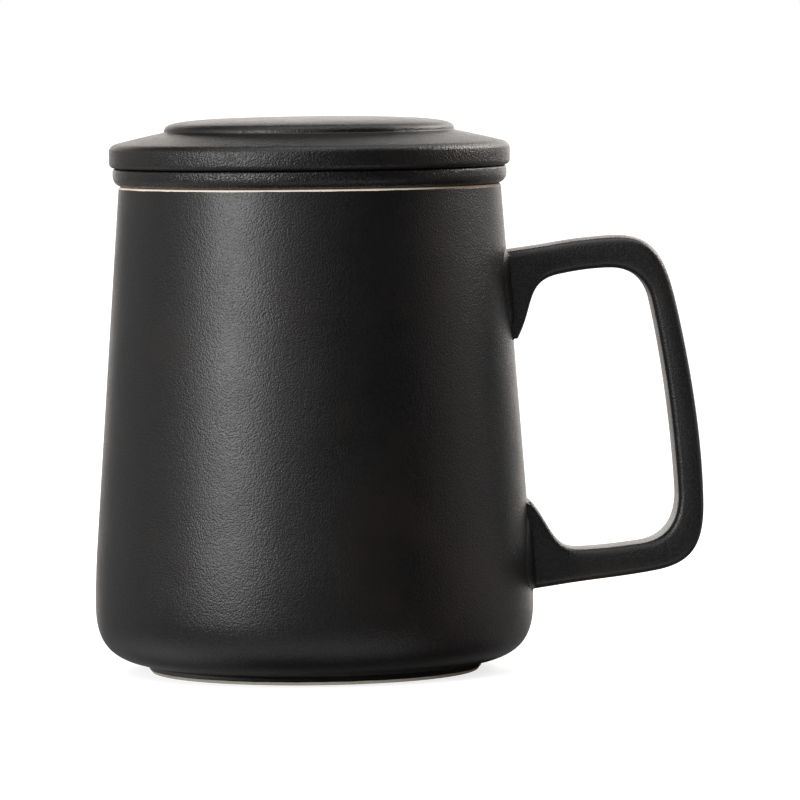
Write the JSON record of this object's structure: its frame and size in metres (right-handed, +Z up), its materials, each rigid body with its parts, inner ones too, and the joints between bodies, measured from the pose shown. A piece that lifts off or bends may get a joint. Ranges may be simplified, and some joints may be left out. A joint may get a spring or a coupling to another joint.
{
  "type": "lidded tea mug with infuser",
  "caption": "Ceramic tea mug with a squared loop handle, a drop-in infuser basket that hangs by its flange in the mouth, and a lift-off lid with a raised plateau.",
  "frame": {"origin": "on the axis of the mug, in the plane of the foot ring's resting face", "axes": "+Z up along the mug's axis, +X towards the handle, +Y across the handle"},
  "size_m": [0.1322, 0.095, 0.12],
  "materials": {
    "body_glaze": "matte black glaze with a fine orange-peel grain, bare cream clay on the rim and the foot ring",
    "infuser_glaze": "matte black glaze with a fine grain",
    "lid_glaze": "matte black glaze with a fine grain"
  },
  "bodies": {
    "mug": {"mug_body": "body_glaze", "handle": "body_glaze"},
    "infuser": {"infuser": "infuser_glaze"},
    "lid": {"lid": "lid_glaze"}
  },
  "joints": [
    {"name": "infuser_lift", "type": "slide", "parent": "mug", "child": "infuser", "axis": [0, 0, 1], "range_m": [0, 0.08]},
    {"name": "lid_lift", "type": "slide", "parent": "infuser", "child": "lid", "axis": [0, 0, 1], "range_m": [0, 0.05]}
  ]
}
